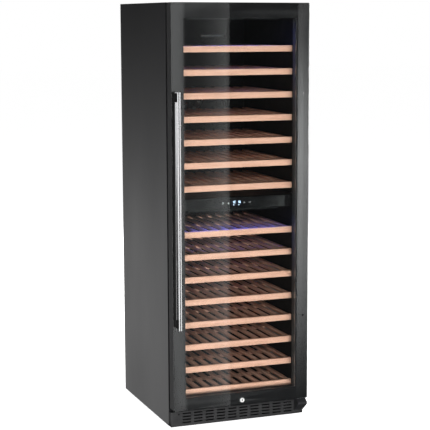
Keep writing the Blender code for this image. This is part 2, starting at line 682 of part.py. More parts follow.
def build_hinges():
    arm_bottom = TOP_ARM_TOP - TOP_ARM_THICK
    plate = block((HALF - 0.060, FRONT - GAP - HINGE_PLATE_THICK, HEIGHT - 0.018),
                  (HALF - 0.003, FRONT - GAP, TOP_ARM_TOP))
    arm = block((HINGE_X - TOP_ARM_HALF, HINGE_Y, arm_bottom),
                (HINGE_X + TOP_ARM_HALF, FRONT - 0.002, TOP_ARM_TOP - 0.0002))
    eye = rod((HINGE_X, HINGE_Y, 0), TOP_ARM_HALF, Z, arm_bottom, TOP_ARM_TOP - 0.0002, steps=24)
    pin = rod((HINGE_X, HINGE_Y, 0), PIN_RADIUS, Z, arm_bottom - PIN_LENGTH, arm_bottom + 0.001)
    piece("top_hinge", combine(plate, added=[arm, eye, pin]), "black_enamel")
    side_view = ((FRONT - GAP, HINGE_SEAT), (GUSSET_FRONT + GUSSET_CHAMFER, HINGE_SEAT),
                 (GUSSET_FRONT, 0.072), (GUSSET_FRONT, 0.0625), (GUSSET_BACK, 0.027),
                 (GUSSET_BACK, HINGE_ARM_BOTTOM), (FRONT - GAP, HINGE_ARM_BOTTOM))
    bracket = prism(side_view, X, HINGE_ARM_LEFT, HALF - 0.0005)
    seat_plate = block((HINGE_PLATE_LEFT, FRONT - GAP - HINGE_PLATE_THICK, HINGE_ARM_BOTTOM + 0.0005),
                       (HALF - 0.003, FRONT - GAP - 0.0001, HINGE_PLATE_TOP))
    lower_pin = rod((HINGE_X, HINGE_Y, 0), PIN_RADIUS, Z, HINGE_SEAT - 0.007, HINGE_SEAT + PIN_LENGTH)
    piece("bottom_hinge", combine(bracket, added=[seat_plate, lower_pin]), "black_enamel")


# ---- door

def round_corners(bm):
    """Rounds the four upright corners of a door-sized plate, seen from the front."""
    corners = [edge for edge in bm.edges
               if all(abs(abs(v.co.x) - HALF) < TOUCH for v in edge.verts)
               and abs(edge.verts[0].co.z - edge.verts[1].co.z) < TOUCH
               and abs(edge.verts[0].co.y - edge.verts[1].co.y) > TOUCH
               and min(abs(edge.verts[0].co.z - z) for z in (DOOR_BOTTOM, HEIGHT)) < TOUCH]
    bmesh.ops.bevel(bm, geom=corners, offset=DOOR_CORNER, segments=4, profile=0.5, affect="EDGES")
    return bm


def build_door():
    hinge = (HINGE_X, HINGE_Y, 0.0)
    frame_front = DOOR_FRONT + GLASS_THICK + GAP
    opening = WINDOW_HALF + 0.002
    hole = (-opening, opening, WINDOW_BOTTOM - 0.002, WINDOW_TOP + 0.002)
    ring = pierced_plate(Y, (-HALF, DOOR_BOTTOM), (HALF, HEIGHT), [hole], frame_front, DOOR_BACK)
    round_corners(ring)
    notch = block((HINGE_X - 0.011, HINGE_Y - 0.018, HEIGHT - 0.006),
                  (HALF + 0.01, DOOR_BACK + 0.01, HEIGHT + 0.01))
    pin_holes = [rod(hinge, PIN_HOLE_RADIUS, Z, HEIGHT - 0.020, HEIGHT + 0.01),
                 rod(hinge, PIN_HOLE_RADIUS, Z, DOOR_BOTTOM - 0.01, DOOR_BOTTOM + 0.014)]
    lock_hole = rod((0, 0, LOCK_Z), BARREL_RADIUS + 0.0006, Y, DOOR_FRONT - 0.01, DOOR_BACK + 0.01)
    frame = combine(ring, removed=[notch, *pin_holes, lock_hole])
    piece("door_frame", frame, "black_plastic", origin=hinge)
    piece("outer_glass", outer_glass_solid(), "glass", origin=hinge)
    inner = block((-opening + GAP, INNER_GLASS_BACK - GLASS_THICK, WINDOW_BOTTOM - 0.0017),
                  (opening - GAP, INNER_GLASS_BACK, WINDOW_TOP + 0.0017))
    piece("inner_glass", inner, "glass", origin=hinge)
    build_gasket(hinge)


def outer_glass_solid():
    """Full-size front pane with a chamfered edge and a hole for the lock."""
    pane = block((-HALF, DOOR_FRONT, DOOR_BOTTOM), (HALF, DOOR_FRONT + GLASS_THICK, HEIGHT))
    round_corners(pane)
    front_edges = [e for e in pane.edges if all(v.co.y < DOOR_FRONT + TOUCH for v in e.verts)]
    bmesh.ops.bevel(pane, geom=front_edges, offset=GLASS_CHAMFER, segments=1, affect="EDGES")
    hole = rod((0, 0, LOCK_Z), BARREL_RADIUS + 0.0006, Y, DOOR_FRONT - 0.01, DOOR_FRONT + 0.01)
    return combine(pane, removed=[hole])


def build_gasket(hinge):
    inner_half = BOARD_HALF + 0.0025
    thick = 0.0118
    bottom = LOWEST_BOARD - 0.0008
    top = INNER_TOP + 0.003
    hole = (-inner_half, inner_half, bottom, top)
    ring = pierced_plate(Y, (-inner_half - thick, bottom - thick), (inner_half + thick, top + thick),
                         [hole], DOOR_BACK + GAP, FRONT - GAP)
    piece("door_gasket", ring, "rubber", origin=hinge)


def build_handle():
    """Grooved steel bar with a slanted left facet, on a black web with a block at each end."""
    hinge = (HINGE_X, HINGE_Y, 0.0)
    front = DOOR_FRONT - HANDLE_REACH
    right = HANDLE_LEFT + HANDLE_WIDTH
    facet = HANDLE_LEFT + FACET_WIDTH
    middle = (facet + right) / 2
    edge = 0.0015
    groove = 0.0012
    bar_back = front + BAR_THICK
    section = ((HANDLE_LEFT, bar_back), (HANDLE_LEFT, front + FACET_DEPTH), (facet, front + groove / 2),
               (facet + groove, front), (middle - groove, front), (middle, front + groove),
               (middle + groove, front), (right - edge, front), (right, front + edge), (right, bar_back))
    bar = prism(section, Z, HANDLE_BOTTOM, HANDLE_TOP)
    lows = (HANDLE_BOTTOM + BLOCK_LIFT, HANDLE_TOP - END_PLATE - BLOCK_HEIGHT)
    notches = [block((HANDLE_LEFT - GAP, front - GAP, low), (facet + GAP, bar_back + GAP, low + BLOCK_HEIGHT))
               for low in lows]
    piece("handle_bar", combine(bar, removed=notches), "stainless", origin=hinge)
    back = DOOR_FRONT - GAP
    web_front = bar_back + GAP
    web = block((HANDLE_LEFT, web_front, lows[0] + GAP),
                (HANDLE_LEFT + WEB_THICK, back, HANDLE_TOP - END_PLATE - GAP))
    added = []
    nose = ((HANDLE_LEFT + 0.0007, web_front + 0.002), (HANDLE_LEFT + 0.0007, front + FACET_DEPTH + 0.0004),
            (facet - 0.0002, front + 0.0012), (facet - 0.0002, web_front + 0.002))
    for low in lows:
        added.append(block((HANDLE_LEFT + 0.0005, web_front, low),
                           (right - 0.001, back - 0.0002, low + BLOCK_HEIGHT)))
        added.append(prism(nose, Z, low + GAP, low + BLOCK_HEIGHT - GAP))
    piece("handle_bracket", combine(web, added=added), "black_plastic", origin=hinge)


def build_lock():
    """Key barrel through the door's lower border, with its cam in the gap behind the door."""
    middle = (0.0, 0.0, LOCK_Z)
    head = turned(((LOCK_RADIUS - 0.001, DOOR_FRONT - 0.004), (LOCK_RADIUS, DOOR_FRONT - 0.003),
                   (LOCK_RADIUS, DOOR_FRONT - GAP)), middle, Y)
    cam_front = DOOR_BACK + 0.0092
    barrel = rod(middle, BARREL_RADIUS, Y, DOOR_FRONT - 0.002, cam_front + CAM_THICK / 2)
    cam = block((-CAM_WIDTH / 2, cam_front, LOCK_Z - CAM_WIDTH / 2),
                (CAM_LENGTH, cam_front + CAM_THICK, LOCK_Z + CAM_WIDTH / 2))
    keyway = block((-0.0008, DOOR_FRONT - 0.01, LOCK_Z - 0.0035),
                   (0.0008, DOOR_FRONT - 0.0025, LOCK_Z + 0.0035))
    lock = combine(head, added=[barrel, cam], removed=[keyway])
    piece("lock_barrel", lock, "stainless", origin=(0.0, DOOR_FRONT, LOCK_Z), smooth=True)


def main():
    clear_scene()
    build_skins()
    build_power_inlet()
    build_base()
    build_liners()
    build_insulation()
    build_shelves()
    build_runners()
    build_air_side("upper", UPPER_DUCT, UPPER_FAN_Z)
    build_air_side("lower", LOWER_DUCT, LOWER_FAN_Z)
    build_machinery()
    build_lights()
    build_controls()
    build_kick_plate()
    build_hinges()
    build_door()
    build_handle()
    build_lock()


main()
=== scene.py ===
"""Looks of the two-zone wine cooler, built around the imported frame."""

import json
import math

import bmesh
import bpy
from mathutils import Euler, Matrix, Vector


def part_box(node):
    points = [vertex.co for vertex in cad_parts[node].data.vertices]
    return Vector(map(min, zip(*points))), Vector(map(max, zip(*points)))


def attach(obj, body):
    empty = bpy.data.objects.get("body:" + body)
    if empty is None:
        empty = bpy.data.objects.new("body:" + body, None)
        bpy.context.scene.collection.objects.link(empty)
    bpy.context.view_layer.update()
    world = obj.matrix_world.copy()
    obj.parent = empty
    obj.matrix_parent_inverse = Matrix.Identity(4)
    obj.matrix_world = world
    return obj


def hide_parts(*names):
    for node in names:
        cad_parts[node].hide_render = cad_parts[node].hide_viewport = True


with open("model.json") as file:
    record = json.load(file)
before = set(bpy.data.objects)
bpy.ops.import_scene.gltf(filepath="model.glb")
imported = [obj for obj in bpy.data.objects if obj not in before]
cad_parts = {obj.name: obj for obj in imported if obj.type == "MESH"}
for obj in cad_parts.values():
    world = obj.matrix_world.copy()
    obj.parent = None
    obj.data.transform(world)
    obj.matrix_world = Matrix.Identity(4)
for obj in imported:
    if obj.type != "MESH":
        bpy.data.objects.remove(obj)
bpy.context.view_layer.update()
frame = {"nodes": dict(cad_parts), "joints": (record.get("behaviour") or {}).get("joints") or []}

X, Y, Z = 0, 1, 2                                     # indices of the axes
HALF_TURN = math.pi
UPRIGHT = Matrix.Rotation(HALF_TURN / 2, 4, "X")      # turns a flat drawing to face the front

# Places read from the frame: each box is a node's lowest and highest corner
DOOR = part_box("door_frame")
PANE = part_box("outer_glass")
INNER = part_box("inner_glass")
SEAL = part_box("door_gasket")
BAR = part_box("handle_bar")
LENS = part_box("display_window")
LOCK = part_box("lock_barrel")
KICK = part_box("kick_plate")
BACK_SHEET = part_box("back_panel")
PANE_FRONT = PANE[0].y
PANE_BACK = PANE[1].y
CABINET_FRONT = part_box("side_panel_left")[0].y
LOCK_Z = (LOCK[0].z + LOCK[1].z) / 2
HINGE = next(joint["pos_m"] for joint in frame["joints"] if joint["name"] == "door_hinge")

# Camera: angles in degrees, lens in millimetres
CAMERA_PLACE = (-2.0019, CABINET_FRONT - 5.1862, 1.6730)
CAMERA_YAW = 21.643
CAMERA_PITCH = 8.342
CAMERA_ROLL = -0.0125
CAMERA_LENS = 113.81
CAMERA_SHIFT = (-0.0770, 0.0116)

# Cards seen only in reflections, with their brightness along one side from 0 to 1
CARD_EDGE = 0.969             # right edge of the card that the pane mirrors as a band
CARD_Y = CABINET_FRONT - 2.75
REFLECTOR_GREYS = ((0.0, 0.95), (0.765, 0.95), (0.785, 0.12), (0.87, 0.19), (0.94, 0.40), (1.0, 0.76))
RIGHT_GREYS = ((0.06, 0.05), (0.157, 0.45), (0.38, 2.2), (0.61, 3.05), (0.69, 2.7), (0.88, 0.75))
SIDE_GREYS = ((0.0, 0.60), (0.03, 0.68), (0.075, 0.68), (0.10, 0.58), (0.235, 0.26), (1.0, 0.10))

# Shelves
BEECH_TONES = ((0.25, (0.66, 0.355, 0.250)), (0.5, (0.78, 0.440, 0.325)), (0.75, (0.86, 0.520, 0.395)))
SHELVES = 15
SLATS = 12
SLAT_WIDTH = 0.020
SLAT_THICK = 0.010
BOARD_THICK = 0.018
SHELF_INSET = 0.002           # slats stop this far inside the front board's outline
BATTEN_DEPTH = 0.024
BATTEN_THICK = 0.009

# Door
GAP = 0.0003                  # between neighbouring pieces
OPENING_HALF = 0.2475         # half width of the moulded ring's opening
PIN_HOLE_RADIUS = 0.0048
LOCK_BORE_RADIUS = 0.0066
WINDOW_SIDE = 0.052           # width of the printed border at the sides
WINDOW_BOTTOM = 0.142
WINDOW_TOP = 1.6835
PRINT_SHIFT = 0.003           # the print reaches this much further in on the hinge side
PRINT_HOLE_RADIUS = 0.0068
SEAL_WIDTH = 0.0118
LEAST_BEND = 0.0006           # smallest corner radius of a swept border
CAP_INSET = 0.0232            # hole caps, measured from the pane's edge

# Handle
FACET_WIDTH = 0.0070
FACET_DEPTH = 0.0075
GROOVE_HALF = 0.0007
BLOCK_HEIGHT = 0.036
BLOCK_LIFT = 0.010
END_PLATE = 0.0025

# Lock
LOCK_RECESS = 0.0012
KEYWAY_HALF = (0.0016, 0.0046)
CAM_HALF = 0.004
CAM_THICK = 0.003

# Displays, with the strokes that each shown numeral lights
SEGMENTS = {"1": "bc", "2": "abged", "6": "afgedc"}
ZONES = (("upper_display", "12", -0.0115), ("lower_display", "16", 0.0115))
DIGIT_SIZE = (0.0068, 0.0088)
DIGIT_PITCH = 0.0082
DIGIT_STROKE = 0.0009
INK_THICK = 0.0002

# Kick plate
SHEET = 0.002
KICK_TOP = 0.0735
SLOT_COLUMNS = 10
SLOT_ROWS = 4
SLOT_PITCH = (0.0504, 0.0128)
SLOT_SIZE = (0.0385, 0.0058)
LOWEST_SLOT = 0.0261
KEEPER_HALF = 0.010
KEEPER_FRONT = CABINET_FRONT - 0.0102

# Screws, lamps and light
BACK_SCREW_ROWS = 9
HINGE_SCREW_X = 0.245
LAMPS = 10
GLOW = {"upper": 1.0, "lower": 0.6}
GLOW_BLUE = (0.06, 0.12, 1.0)
WHITE = (1.0, 1.0, 1.0)


# ---------------------------------------------------------------- materials

def node(tree, kind, **settings):
    """Adds one shader node with its settings."""
    made = tree.nodes.new(kind)
    for name, value in settings.items():
        setattr(made, name, value)
    return made


def stretched_noise(tree, scale, detail=4.0, roughness=0.55):
    """Noise in the piece's own coordinates, with its own scale along each axis (per metre)."""
    place = node(tree, "ShaderNodeTexCoord")
    stretch = node(tree, "ShaderNodeMapping")
    stretch.inputs["Scale"].default_value = scale
    noise = node(tree, "ShaderNodeTexNoise")
    noise.inputs["Scale"].default_value = 1.0
    noise.inputs["Detail"].default_value = detail
    noise.inputs["Roughness"].default_value = roughness
    tree.links.new(place.outputs["Object"], stretch.inputs["Vector"])
    tree.links.new(stretch.outputs["Vector"], noise.inputs["Vector"])
    return noise.outputs["Fac"]


def colour_ramp(tree, value, stops):
    """Turns a value into a colour by (place, colour) stops."""
    ramp = node(tree, "ShaderNodeValToRGB")
    elements = ramp.color_ramp.elements
    while len(elements) < len(stops):
        elements.new(0.5)
    for element, (place, colour) in zip(elements, stops):
        element.position = place
        element.color = (*colour, 1.0)
    tree.links.new(value, ramp.inputs["Fac"])
    return ramp.outputs["Color"]


def ranged(tree, value, low, high):
    """Spreads the middle of a noise over a range."""
    spread = node(tree, "ShaderNodeMapRange")
    spread.inputs["From Min"].default_value = 0.3
    spread.inputs["From Max"].default_value = 0.7
    spread.inputs["To Min"].default_value = low
    spread.inputs["To Max"].default_value = high
    tree.links.new(value, spread.inputs["Value"])
    return spread.outputs["Result"]


def bumped(tree, shader, height, distance, strength=1.0):
    bump = node(tree, "ShaderNodeBump")
    bump.inputs["Strength"].default_value = strength
    bump.inputs["Distance"].default_value = distance
    tree.links.new(height, bump.inputs["Height"])
    tree.links.new(bump.outputs["Normal"], shader.inputs["Normal"])


def surface(name, dark, light, rough, metallic=0.0, grain=(60, 60, 60), bump_grain=None, bump=0.00005,
            detail=4.0, **sockets):
    """Principled material whose colour, roughness and relief all vary a little over the surface."""
    material = bpy.data.materials.new(name)
    material.use_nodes = True
    tree = material.node_tree
    shader = tree.nodes["Principled BSDF"]
    shader.inputs["Metallic"].default_value = metallic
    for socket, value in sockets.items():
        shader.inputs[socket.replace("_", " ")].default_value = value
    pattern = stretched_noise(tree, grain, detail)
    tree.links.new(colour_ramp(tree, pattern, ((0.3, dark), (0.7, light))), shader.inputs["Base Color"])
    tree.links.new(ranged(tree, pattern, *rough), shader.inputs["Roughness"])
    relief = stretched_noise(tree, bump_grain or grain, 2.0)
    bumped(tree, shader, relief, bump)
    return material


def beech(name, along, painted_shade_factor=1.0):
    """Clear-lacquered beech whose grain runs along one axis, with short darker rays; the last argument
    darkens the whole colour as painted shade.
    """
    material = bpy.data.materials.new(name)
    material.use_nodes = True
    tree = material.node_tree
    shader = tree.nodes["Principled BSDF"]
    shader.inputs["Specular IOR Level"].default_value = 0.35
    growth = [90.0, 90.0, 90.0]
    growth[along] = 5.0
    flecks = [900.0, 900.0, 900.0]
    flecks[along] = 110.0
    bands = stretched_noise(tree, growth, 5.0, 0.6)
    # painted shade: every tone is scaled down by the given factor
    stops = [(at, tuple(channel * painted_shade_factor for channel in colour)) for at, colour in BEECH_TONES]
    tone = colour_ramp(tree, bands, stops)
    rays = stretched_noise(tree, flecks, 2.0)
    ray_mask = colour_ramp(tree, rays, ((0.55, (1.0, 1.0, 1.0)), (0.72, (0.72, 0.60, 0.52))))
    mix = node(tree, "ShaderNodeMix", data_type="RGBA", blend_type="MULTIPLY")
    mix.inputs["Factor"].default_value = 0.8
    tree.links.new(tone, mix.inputs["A"])
    tree.links.new(ray_mask, mix.inputs["B"])
    tree.links.new(mix.outputs["Result"], shader.inputs["Base Color"])
    tree.links.new(ranged(tree, bands, 0.42, 0.56), shader.inputs["Roughness"])
    bumped(tree, shader, rays, 0.00006)
    return material


def clear_glass(name, tint, rough):
    """Flat glass: light goes straight through, and the surface mirrors by its angle."""
    material = bpy.data.materials.new(name)
    material.use_nodes = True
    tree = material.node_tree
    tree.nodes.remove(tree.nodes["Principled BSDF"])
    out = tree.nodes["Material Output"]
    see_through = node(tree, "ShaderNodeBsdfTransparent")
    see_through.inputs["Color"].default_value = (*tint, 1.0)
    mirror = node(tree, "ShaderNodeBsdfGlossy")
    smears = stretched_noise(tree, (9, 9, 4), 3.0)
    tree.links.new(ranged(tree, smears, rough, rough * 1.5), mirror.inputs["Roughness"])
    angle = node(tree, "ShaderNodeFresnel")
    angle.inputs["IOR"].default_value = 1.45
    blend = node(tree, "ShaderNodeMixShader")
    tree.links.new(angle.outputs["Fac"], blend.inputs["Fac"])
    tree.links.new(see_through.outputs["BSDF"], blend.inputs[1])
    tree.links.new(mirror.outputs["BSDF"], blend.inputs[2])
    tree.links.new(blend.outputs["Shader"], out.inputs["Surface"])
    return material


def glowing(name, colour, strength):
    """Lit plastic: a diffusing surface that also gives light."""
    material = surface(name, tuple(c * 0.7 for c in colour), colour, (0.3, 0.4), grain=(200, 200, 200))
    shader = material.node_tree.nodes["Principled BSDF"]
    shader.inputs["Emission Color"].default_value = (*colour, 1.0)
    shader.inputs["Emission Strength"].default_value = strength
    return material


ENAMEL = surface("black_enamel", (0.013, 0.013, 0.014), (0.019, 0.019, 0.021), (0.30, 0.38),
                 grain=(3, 3, 1.2), bump_grain=(420, 420, 420), bump=0.00004)
MATTE = surface("matte_black", (0.004, 0.004, 0.004), (0.007, 0.007, 0.007), (0.62, 0.78),
                grain=(40, 40, 40), bump_grain=(900, 900, 900), bump=0.00004, Specular_IOR_Level=0.12)
MOULDED = surface("moulded_black", (0.005, 0.005, 0.0055), (0.009, 0.009, 0.0095), (0.42, 0.55),
                  grain=(40, 40, 40), bump_grain=(1600, 1600, 1600), bump=0.00005)
PRINT = surface("printed_border", (0.0065, 0.0065, 0.007), (0.009, 0.009, 0.0095), (0.14, 0.18),
                grain=(6, 6, 6), bump_grain=(300, 300, 300), bump=0.000005, Specular_IOR_Level=0.6)
# Black plastic liner, made darker than the plastic itself as painted shade over the cabinet's inside.
LINER_BLACK_AND_SHADE = surface("liner_black_and_painted_shade", (0.0035, 0.0035, 0.004), (0.007, 0.007, 0.0075), (0.50, 0.62),
                grain=(14, 14, 14), bump_grain=(700, 700, 700), bump=0.00006, Specular_IOR_Level=0.12)
GLOSS = surface("fascia_gloss", (0.003, 0.003, 0.0035), (0.005, 0.005, 0.0055), (0.10, 0.16),
                grain=(20, 20, 20), bump=0.000004, Specular_IOR_Level=0.9, IOR=1.6)
GRILLE = surface("grille_plastic", (0.011, 0.011, 0.0115), (0.017, 0.017, 0.0175), (0.46, 0.58),
                 grain=(40, 40, 40), bump_grain=(900, 900, 900), bump=0.00003)
TRIM = surface("door_trim", (0.044, 0.044, 0.045), (0.053, 0.053, 0.054), (0.50, 0.60),
               grain=(5, 5, 3), bump_grain=(900, 900, 900), bump=0.00002, Specular_IOR_Level=0.10)
STEEL = surface("brushed_stainless", (0.52, 0.52, 0.53), (0.70, 0.70, 0.71), (0.20, 0.28), metallic=1.0,
                grain=(2600, 2600, 16), bump_grain=(3000, 3000, 20), bump=0.00001)
CHROME = surface("polished_chrome", (0.80, 0.80, 0.81), (0.88, 0.88, 0.89), (0.06, 0.14), metallic=1.0,
                 grain=(400, 400, 400), bump=0.000004)
NICKEL = surface("bright_nickel", (0.80, 0.80, 0.79), (0.88, 0.88, 0.87), (0.26, 0.34), metallic=0.55,
                 grain=(400, 400, 400), bump=0.000004)
ZINC = surface("galvanised_sheet", (0.46, 0.47, 0.48), (0.56, 0.57, 0.58), (0.36, 0.48), metallic=0.6,
               grain=(95, 95, 95), detail=1.0, bump=0.00001)
SPACER = surface("spacer_aluminium", (0.08, 0.08, 0.085), (0.12, 0.12, 0.125), (0.35, 0.48), metallic=0.4,
                 grain=(200, 200, 200), bump=0.00001)
COPPER = surface("copper_tube", (0.50, 0.23, 0.13), (0.76, 0.40, 0.26), (0.28, 0.45), metallic=1.0,
                 grain=(70, 70, 70), bump=0.00002)
ALUMINIUM = surface("aluminium_plate", (0.62, 0.63, 0.64), (0.78, 0.79, 0.80), (0.30, 0.42), metallic=1.0,
                    grain=(30, 30, 300), bump=0.00002)
RUBBER = surface("seal_rubber", (0.003, 0.003, 0.003), (0.006, 0.006, 0.006), (0.65, 0.82),
                 grain=(90, 90, 90), bump_grain=(1200, 1200, 1200), bump=0.00004, Specular_IOR_Level=0.10)
FOAM = surface("foam", (0.62, 0.53, 0.34), (0.80, 0.72, 0.50), (0.85, 0.95),
               grain=(120, 120, 120), bump=0.0004)
POT = surface("compressor_paint", (0.010, 0.010, 0.011), (0.022, 0.022, 0.024), (0.25, 0.40),
              grain=(18, 18, 18), bump_grain=(260, 260, 260), bump=0.00012)
LENS_TINT = surface("display_lens_tint", (0.010, 0.014, 0.022), (0.016, 0.020, 0.030), (0.06, 0.10),
                    grain=(60, 60, 60), bump=0.000003)
BOARD_WOOD = beech("beech_board", X)
# The slats are the board's beech darkened to 0.75 as painted shade for the dim space between the boards.
SLAT_WOOD_PAINTED_SHADE = beech("beech_slat_painted_shade", Y, 0.75)
FRONT_GLASS = clear_glass("front_pane_glass", (0.955, 0.965, 0.962), 0.010)
REAR_GLASS = clear_glass("inner_pane_glass", (0.955, 0.965, 0.962), 0.014)
DIGIT = glowing("display_digit", (0.62, 0.78, 1.0), 5.0)
ICON = glowing("key_icon", (0.55, 0.56, 0.58), 0.42)
LAMP = glowing("lamp_diffuser", (0.10, 0.22, 1.0), 3.0)


# ---------------------------------------------------------------- mesh helpers

def add_piece(name, bm, material, body, smooth=True, sharp=35.0):
    """Turns a mesh into a named piece that rides on a body of the frame."""
    bmesh.ops.recalc_face_normals(bm, faces=bm.faces)
    mesh = bpy.data.meshes.new(name)
    bm.to_mesh(mesh)
    bm.free()
    mesh.materials.append(material)
    if smooth:
        mesh.shade_smooth()
        mesh.set_sharp_from_angle(angle=math.radians(sharp))
    piece = bpy.data.objects.new(name, mesh)
    bpy.context.collection.objects.link(piece)
    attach(piece, body)
    return piece


def add_block(bm, low, high, bevel=0.0, segments=2):
    """Adds a box with rounded edges to a mesh."""
    low, high = Vector(low), Vector(high)
    made = bmesh.ops.create_cube(bm, size=1.0)
    shape = Matrix.Translation((low + high) / 2) @ Matrix.Diagonal((*(high - low), 1.0))
    bmesh.ops.transform(bm, matrix=shape, verts=made["verts"])
    if bevel:
        edges = {edge for vert in made["verts"] for edge in vert.link_edges}
        bmesh.ops.bevel(bm, geom=list(edges), offset=bevel, segments=segments, profile=0.5, affect="EDGES")


def on_axis(axis, along, a, b):
    """Point at a distance along one axis, with a and b along the other two."""
    point = [a, b]
    point.insert(axis, along)
    return Vector(point)


def add_turned(bm, profile, centre, axis, steps=48):
    """Adds a closed turned solid from (radius, distance along the axis) points."""
    rings = []
    for radius, along in profile:
        ring = []
        for step in range(steps):
            turn = 2 * HALF_TURN * step / steps
            spoke = on_axis(axis, along, radius * math.cos(turn), radius * math.sin(turn))
            ring.append(bm.verts.new(Vector(centre) + spoke))
        rings.append(ring)
    for lower, upper in zip(rings, rings[1:]):
        for i in range(steps):
            j = (i + 1) % steps
            bm.faces.new((lower[i], lower[j], upper[j], upper[i]))
    bm.faces.new(rings[0])
    bm.faces.new(rings[-1])


def add_border(bm, profile, half, low, high, radius=0.004, steps=6, middle=0.0):
    """Adds a frame swept round an upright rectangle; the profile is (outward offset, y) points."""
    rings = []
    for side_x, side_z, start in ((1, 1, 0.0), (-1, 1, 0.5), (-1, -1, 1.0), (1, -1, 1.5)):
        edge = high if side_z > 0 else low
        for step in range(steps + 1):
            turn = HALF_TURN * (start + 0.5 * step / steps)
            ring = []
            for off, y in profile:
                bend = max(radius + off, LEAST_BEND)
                x = middle + side_x * (half + off - bend) + bend * math.cos(turn)
                z = edge + side_z * (off - bend) + bend * math.sin(turn)
                ring.append(bm.verts.new((x, y, z)))
            rings.append(ring)
    count = len(profile)
    for ring, following in zip(rings, rings[1:] + rings[:1]):
        for i in range(count):
            j = (i + 1) % count
            bm.faces.new((ring[i], ring[j], following[j], following[i]))


def flat_outline(name, outlines, thickness, rounding, material, body, place):
    """A plate cut from a filled 2-D curve: the first outline is its edge, the others are holes."""
    curve = bpy.data.curves.new(name, "CURVE")
    curve.dimensions = "2D"
    curve.fill_mode = "BOTH"
    curve.extrude = thickness / 2 - rounding
    curve.bevel_depth = rounding
    curve.bevel_resolution = 2
    for outline in outlines:
        line = curve.splines.new("POLY")
        line.points.add(len(outline) - 1)
        line.use_cyclic_u = True
        for point, (a, b) in zip(line.points, outline):
            point.co = (a, b, 0.0, 1.0)
    flat = bpy.data.objects.new(name + "_outline", curve)
    bpy.context.collection.objects.link(flat)
    mesh = bpy.data.meshes.new_from_object(flat.evaluated_get(bpy.context.evaluated_depsgraph_get()))
    bpy.data.objects.remove(flat, do_unlink=True)
    bm = bmesh.new()
    bm.from_mesh(mesh)
    bmesh.ops.transform(bm, matrix=place, verts=bm.verts)
    bmesh.ops.remove_doubles(bm, verts=bm.verts, dist=0.000001)
    return add_piece(name, bm, material, body)


def stadium(centre_a, centre_b, length, height, steps=6):
    """Outline of a slot with round ends."""
    radius = height / 2
    points = []
    for side, start in ((1, -0.5), (-1, 0.5)):
        for step in range(steps + 1):
            turn = HALF_TURN * (start + step / steps)
            points.append((centre_a + side * (length / 2 - radius) + radius * math.cos(turn),
                           centre_b + radius * math.sin(turn)))
    return points


def rectangle(low_a, low_b, high_a, high_b):
    """Outline of a rectangle from two opposite corners."""
    return [(low_a, low_b), (high_a, low_b), (high_a, high_b), (low_a, high_b)]


def dress(node_name, material):
    """Gives a solid carried over from the frame its material."""
    target = frame["nodes"][node_name]
    target.data.materials.clear()
    target.data.materials.append(material)


def cut(piece, tools, sharp=30.0):
    """Cuts each tool mesh out of a piece, then marks the sharp edges again."""
    for tool in tools:
        bmesh.ops.recalc_face_normals(tool, faces=tool.faces)
        mesh = bpy.data.meshes.new("tool")
        tool.to_mesh(mesh)
        tool.free()
        knife = bpy.data.objects.new("tool", mesh)
        bpy.context.collection.objects.link(knife)
        step = piece.modifiers.new("cut", "BOOLEAN")
        step.operation = "DIFFERENCE"
        step.solver = "EXACT"
        step.object = knife
        evaluated = piece.evaluated_get(bpy.context.evaluated_depsgraph_get())
        shaped = bpy.data.meshes.new_from_object(evaluated)
        piece.modifiers.remove(step)
        piece.data = shaped
        bpy.data.objects.remove(knife, do_unlink=True)
    piece.data.shade_smooth()
    piece.data.set_sharp_from_angle(angle=math.radians(sharp))


# ---------------------------------------------------------------- camera, light and floor

def make_camera():
    """Camera turned by yaw, then tilted down by pitch, then rolled."""
    yaw, pitch, roll = (math.radians(angle) for angle in (CAMERA_YAW, CAMERA_PITCH, CAMERA_ROLL))
    camera = bpy.data.cameras.new("camera")
    camera.lens = CAMERA_LENS
    camera.sensor_width = 36.0
    camera.shift_x, camera.shift_y = CAMERA_SHIFT
    camera.clip_end = 200.0
    eye = bpy.data.objects.new("camera", camera)
    eye.location = CAMERA_PLACE
    look = Euler((HALF_TURN / 2 - pitch, 0.0, -yaw)).to_matrix().to_4x4()
    eye.rotation_euler = (look @ Matrix.Rotation(roll, 4, "Z")).to_euler()
    bpy.context.collection.objects.link(eye)
    bpy.context.scene.camera = eye


def aim(thing, place, target):
    """Puts a light somewhere, facing a point."""
    thing.location = place
    thing.rotation_euler = (Vector(target) - Vector(place)).to_track_quat("-Z", "Y").to_euler()


def softbox(name, place, target, size, power, colour=WHITE, mirrored=True):
    """Rectangular light; an unmirrored one leaves no reflection of itself."""
    light = bpy.data.lights.new(name, "AREA")
    light.shape = "RECTANGLE"
    light.size, light.size_y = size
    light.energy = power
    light.color = colour
    lamp = bpy.data.objects.new(name, light)
    bpy.context.collection.objects.link(lamp)
    aim(lamp, place, target)
    lamp.visible_glossy = mirrored
    return lamp


def emitter(name, colour, strength):
    """Even light of one colour."""
    material = bpy.data.materials.new(name)
    material.use_nodes = True
    tree = material.node_tree
    tree.nodes.remove(tree.nodes["Principled BSDF"])
    glow = node(tree, "ShaderNodeEmission")
    glow.inputs["Color"].default_value = (*colour, 1.0)
    glow.inputs["Strength"].default_value = strength
    tree.links.new(glow.outputs["Emission"], tree.nodes["Material Output"].inputs["Surface"])
    return material


def graded_emitter(name, axis, stops):
    """Emission that changes along one axis of the card's own coordinates, from 0 to 1 across it."""
    peak = max(level for at, level in stops)
    material = emitter(name, WHITE, peak)
    tree = material.node_tree
    place = node(tree, "ShaderNodeTexCoord")
    parts = node(tree, "ShaderNodeSeparateXYZ")
    tree.links.new(place.outputs["Object"], parts.inputs["Vector"])
    share = node(tree, "ShaderNodeMath", operation="ADD")
    share.inputs[1].default_value = 0.5
    tree.links.new(parts.outputs[axis], share.inputs[0])
    greys = [(at, (level / peak,) * 3) for at, level in stops]
    glow = next(step for step in tree.nodes if step.type == "EMISSION")
    tree.links.new(colour_ramp(tree, share.outputs["Value"], greys), glow.inputs["Color"])
    return material


